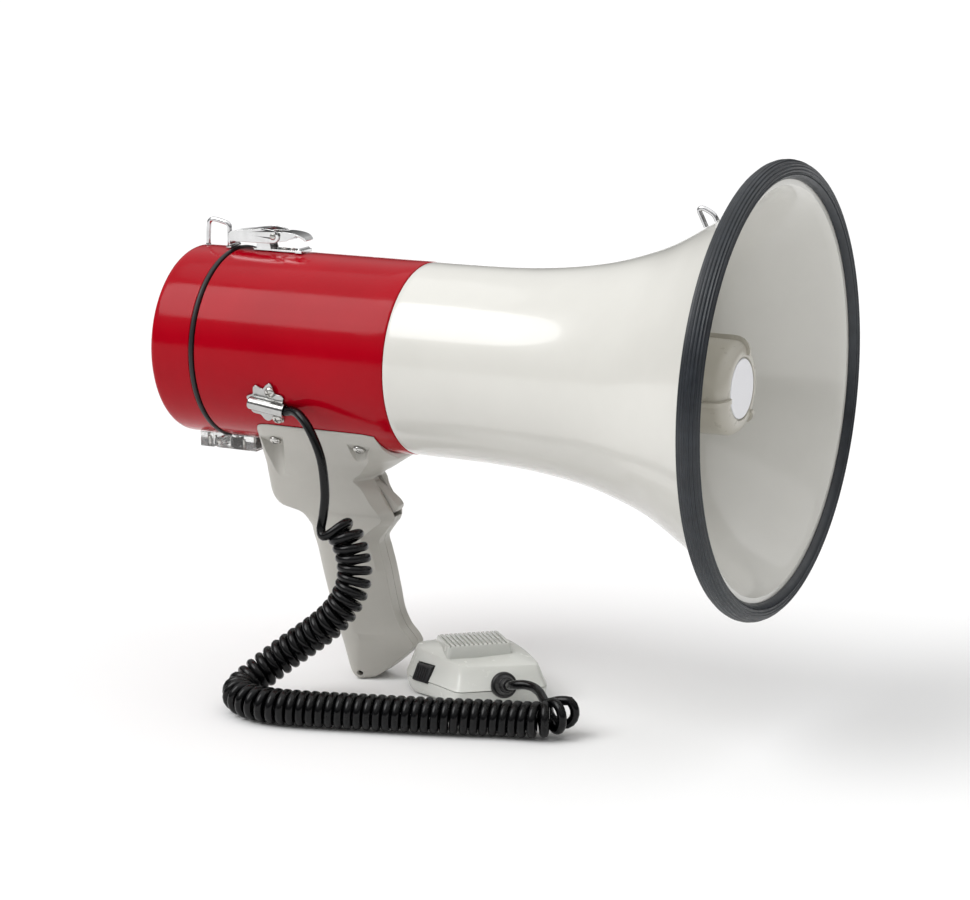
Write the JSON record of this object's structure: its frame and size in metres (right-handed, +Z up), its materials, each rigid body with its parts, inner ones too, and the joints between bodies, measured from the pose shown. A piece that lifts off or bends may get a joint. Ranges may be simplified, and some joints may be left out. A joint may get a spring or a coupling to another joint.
{
  "type": "handheld megaphone",
  "caption": "Red and off-white handheld megaphone with a folded bell horn, pistol handle with trigger, hinged rear cover with draw latch, and a palm microphone on a curly cord.",
  "frame": {"origin": "centre of the bounding box's footprint, on the floor under the handle's foot", "axes": "+X along the horn axis towards the mouth, +Z up, +Y away from the cord clamp"},
  "size_m": [0.3407, 0.23, 0.2925],
  "materials": {
    "horn_paint": "gloss off-white moulded shell",
    "tube_paint": "gloss red moulded shell",
    "rim_rubber": "matt dark blue-grey, finely ribbed",
    "gasket_rubber": "matt black",
    "cup_plastic": "satin warm grey",
    "label_disc": "plain white disc",
    "black_plastic": "fine grained",
    "magnet": "grey ferrite and steel",
    "diaphragm": "thin amber film",
    "switch_metal": "satin",
    "circuit_board": "green laminate",
    "latch_chrome": "bright plated",
    "clear_plastic": "clear moulded plastic",
    "screw_steel": "plated",
    "wire_steel": "plated wire",
    "clamp_metal": "bright stamped",
    "handle_plastic": "warm light grey satin",
    "cord_rubber": "black",
    "cord_jacket": "black, semi-gloss",
    "cell_case": "plain wrapped cell"
  },
  "bodies": {
    "megaphone": {"horn_bell": "horn_paint", "body_tube": "tube_paint", "horn_rim_ring": "rim_rubber", "cover_gasket": "gasket_rubber", "reflector_cup": "cup_plastic", "tone_tube": "cup_plastic", "cup_label_disc": "label_disc", "driver_cover": "black_plastic", "driver_magnet": "magnet", "driver_diaphragm": "diaphragm", "driver_bulkhead": "black_plastic", "battery_carrier": "black_plastic", "latch_base": "latch_chrome", "latch_lever_pin": "latch_chrome", "hinge_leaf_front": "clear_plastic", "hinge_pin": "screw_steel", "front_strap_loop": "wire_steel", "cord_clamp": "clamp_metal", "clamp_screw_upper": "screw_steel", "clamp_screw_lower": "screw_steel", "handle_shell_left": "handle_plastic", "handle_shell_right": "handle_plastic", "trigger_pin": "screw_steel", "talk_switch": "black_plastic", "trigger_spring": "wire_steel", "saddle_screw_rear_left": "screw_steel", "saddle_screw_front_left": "screw_steel", "saddle_screw_rear_right": "screw_steel", "saddle_screw_front_right": "screw_steel", "mic_front_shell": "handle_plastic", "mic_back_shell": "handle_plastic", "mic_talk_switch": "black_plastic", "mic_capsule": "switch_metal", "mic_cord_boot": "cord_rubber", "cord_lead": "cord_jacket", "cord_coil": "cord_jacket", "cord_tail": "cord_jacket", "battery_cell_1": "cell_case", "battery_cell_2": "cell_case", "battery_cell_3": "cell_case", "battery_cell_4": "cell_case", "battery_cell_5": "cell_case", "battery_cell_6": "cell_case", "battery_cell_7": "cell_case", "battery_cell_8": "cell_case"},
    "rear_cover": {"rear_cover": "tube_paint", "volume_pot": "switch_metal", "siren_switch": "black_plastic", "amplifier_board": "circuit_board", "amplifier_heat_sink": "switch_metal", "latch_keeper": "latch_chrome", "hinge_leaf_rear": "clear_plastic", "rear_strap_loop": "wire_steel"},
    "volume_knob": {"volume_knob": "black_plastic"},
    "siren_button": {"siren_button": "black_plastic"},
    "latch_lever": {"latch_lever": "latch_chrome", "latch_claw_rivet": "latch_chrome"},
    "latch_claw": {"latch_claw": "latch_chrome"},
    "trigger": {"trigger": "handle_plastic"},
    "mic_talk_button": {"mic_talk_button": "black_plastic"}
  },
  "joints": [
    {"name": "rear_cover_hinge", "type": "hinge", "parent": "megaphone", "child": "rear_cover", "pos_m": [-0.15025, 0, 0.1233], "axis": [0, -1, 0], "range_deg": [0, 90]},
    {"name": "latch_lever_hinge", "type": "hinge", "parent": "megaphone", "child": "latch_lever", "pos_m": [-0.12715, 0, 0.2363], "axis": [0, -1, 0], "range_deg": [0, 90]},
    {"name": "latch_claw_pivot", "type": "hinge", "parent": "latch_lever", "child": "latch_claw", "pos_m": [-0.11915, 0, 0.2368], "axis": [0, -1, 0], "range_deg": [-117, 0]},
    {"name": "volume_turn", "type": "hinge", "parent": "rear_cover", "child": "volume_knob", "pos_m": [-0.16665, 0, 0.1925], "axis": [-1, 0, 0], "range_deg": [0, 270]},
    {"name": "siren_press", "type": "slide", "parent": "rear_cover", "child": "siren_button", "axis": [1, 0, 0], "range_m": [0, 0.002], "stiffness_N_per_m": 600, "springref_m": -0.001},
    {"name": "trigger_pull", "type": "hinge", "parent": "megaphone", "child": "trigger", "pos_m": [-0.06465, 0, 0.1095], "axis": [0, 1, 0], "range_deg": [0, 3.5], "stiffness_Nm_per_rad": 3, "springref_deg": -2.86},
    {"name": "mic_talk_press", "type": "slide", "parent": "megaphone", "child": "mic_talk_button", "axis": [0.352, 0.936, 0], "range_m": [0, 0.002], "stiffness_N_per_m": 600, "springref_m": -0.001}
  ],
  "couplings": [
    {"joint": "latch_claw_pivot", "follows": "latch_lever_hinge", "ratio": -1.3}
  ]
}
